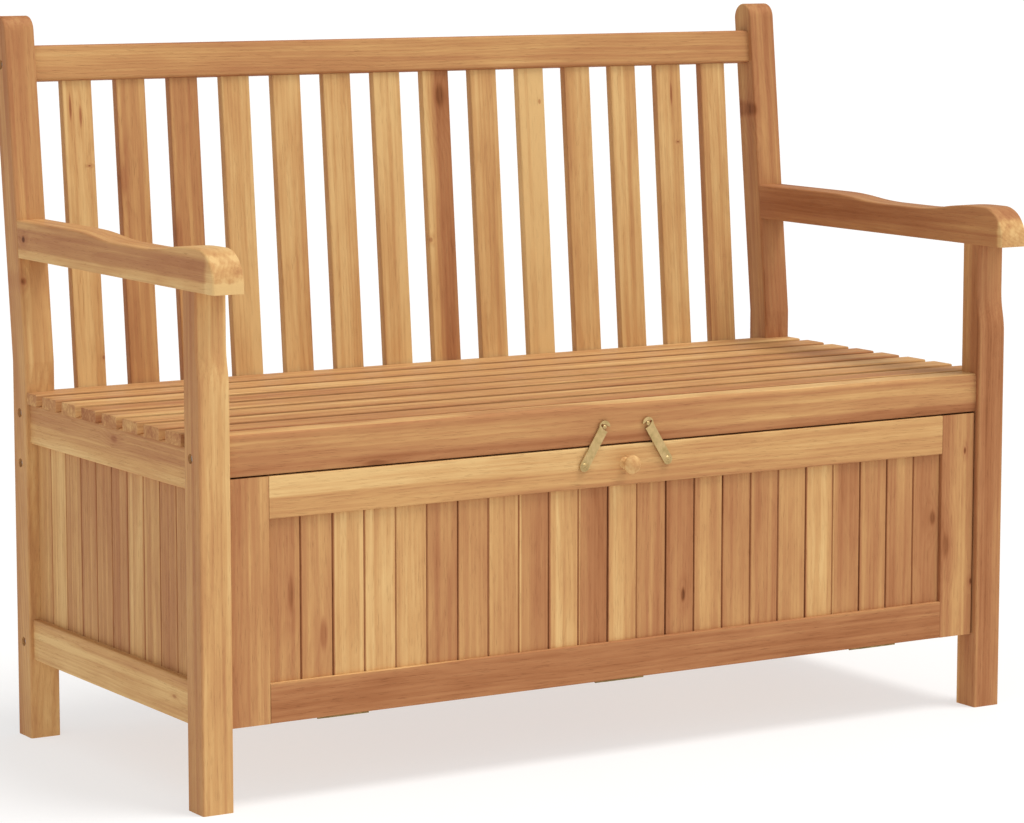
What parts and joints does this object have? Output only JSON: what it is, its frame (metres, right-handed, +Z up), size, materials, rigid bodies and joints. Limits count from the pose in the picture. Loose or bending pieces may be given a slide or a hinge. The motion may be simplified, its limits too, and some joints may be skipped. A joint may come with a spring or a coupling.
{
  "type": "storage bench",
  "caption": "Slatted wooden garden bench with shaped arms and a storage box under the seat, closed by a drop-front panel with a turned knob and swing hooks.",
  "frame": {"origin": "on the ground, under the middle of the bench's overall length and depth", "axes": "+X along the bench to the right as seen from the front, +Y from front to back, +Z up"},
  "size_m": [1.2, 0.6163, 0.93],
  "materials": {
    "post_wood": "oiled, satin",
    "arm_wood": "oiled, satin",
    "rail_wood": "oiled, satin",
    "slat_wood": "oiled, satin",
    "seat_wood": "oiled, satin",
    "board_wood": "oiled, satin",
    "panel_wood": "oiled, satin",
    "knob_wood": "oiled, satin",
    "brass": "dull, slightly tarnished",
    "zinc_steel": "zinc plated"
  },
  "bodies": {
    "frame": {"front_left_post": "post_wood", "front_right_post": "post_wood", "back_left_post": "post_wood", "back_right_post": "post_wood", "left_arm": "arm_wood", "right_arm": "arm_wood", "top_back_rail": "rail_wood", "lower_back_rail": "rail_wood", "back_slat_01": "slat_wood", "back_slat_02": "slat_wood", "back_slat_03": "slat_wood", "back_slat_04": "slat_wood", "back_slat_05": "slat_wood", "back_slat_06": "slat_wood", "back_slat_07": "slat_wood", "back_slat_08": "slat_wood", "back_slat_09": "slat_wood", "back_slat_10": "slat_wood", "back_slat_11": "slat_wood", "back_slat_12": "slat_wood", "back_slat_13": "slat_wood", "back_slat_14": "slat_wood", "seat_front_rail": "rail_wood", "seat_slat_1": "seat_wood", "seat_slat_2": "seat_wood", "seat_slat_3": "seat_wood", "seat_slat_4": "seat_wood", "seat_slat_5": "seat_wood", "seat_slat_6": "seat_wood", "seat_slat_7": "seat_wood", "seat_slat_8": "seat_wood", "left_upper_side_rail": "rail_wood", "right_upper_side_rail": "rail_wood", "left_lower_side_rail": "rail_wood", "right_lower_side_rail": "rail_wood", "left_side_boards": "board_wood", "right_side_boards": "board_wood", "back_panel_top_rail": "rail_wood", "back_panel_bottom_rail": "rail_wood", "back_panel_boards": "board_wood", "front_bottom_rail": "rail_wood", "seat_bearers": "rail_wood", "floor_boards": "board_wood", "frame_bolts": "zinc_steel", "barrel_nuts": "zinc_steel", "frame_screws": "zinc_steel", "hinge_frame_leaves": "brass", "hinge_pins": "brass", "hook_keepers": "brass"},
    "drop_front": {"front_panel_left_stile": "panel_wood", "front_panel_right_stile": "panel_wood", "front_panel_top_rail": "panel_wood", "front_panel_bottom_rail": "panel_wood", "front_panel_boards": "board_wood", "knob": "knob_wood", "hinge_door_leaves": "brass", "panel_screws": "zinc_steel", "hook_screws": "brass"},
    "left_swing_hook": {"left_hook": "brass"},
    "right_swing_hook": {"right_hook": "brass"}
  },
  "joints": [
    {"name": "drop_front_hinge", "type": "hinge", "parent": "frame", "child": "drop_front", "pos_m": [0, -0.2392, 0.0967], "axis": [1, 0, 0], "range_deg": [0, 100]},
    {"name": "left_hook_pivot", "type": "hinge", "parent": "drop_front", "child": "left_swing_hook", "pos_m": [-0.0625, -0.2627, 0.3765], "axis": [0, -1, 0], "range_deg": [-4.6, 150]},
    {"name": "right_hook_pivot", "type": "hinge", "parent": "drop_front", "child": "right_swing_hook", "pos_m": [0.0625, -0.2627, 0.3765], "axis": [0, 1, 0], "range_deg": [-4.6, 150]}
  ]
}
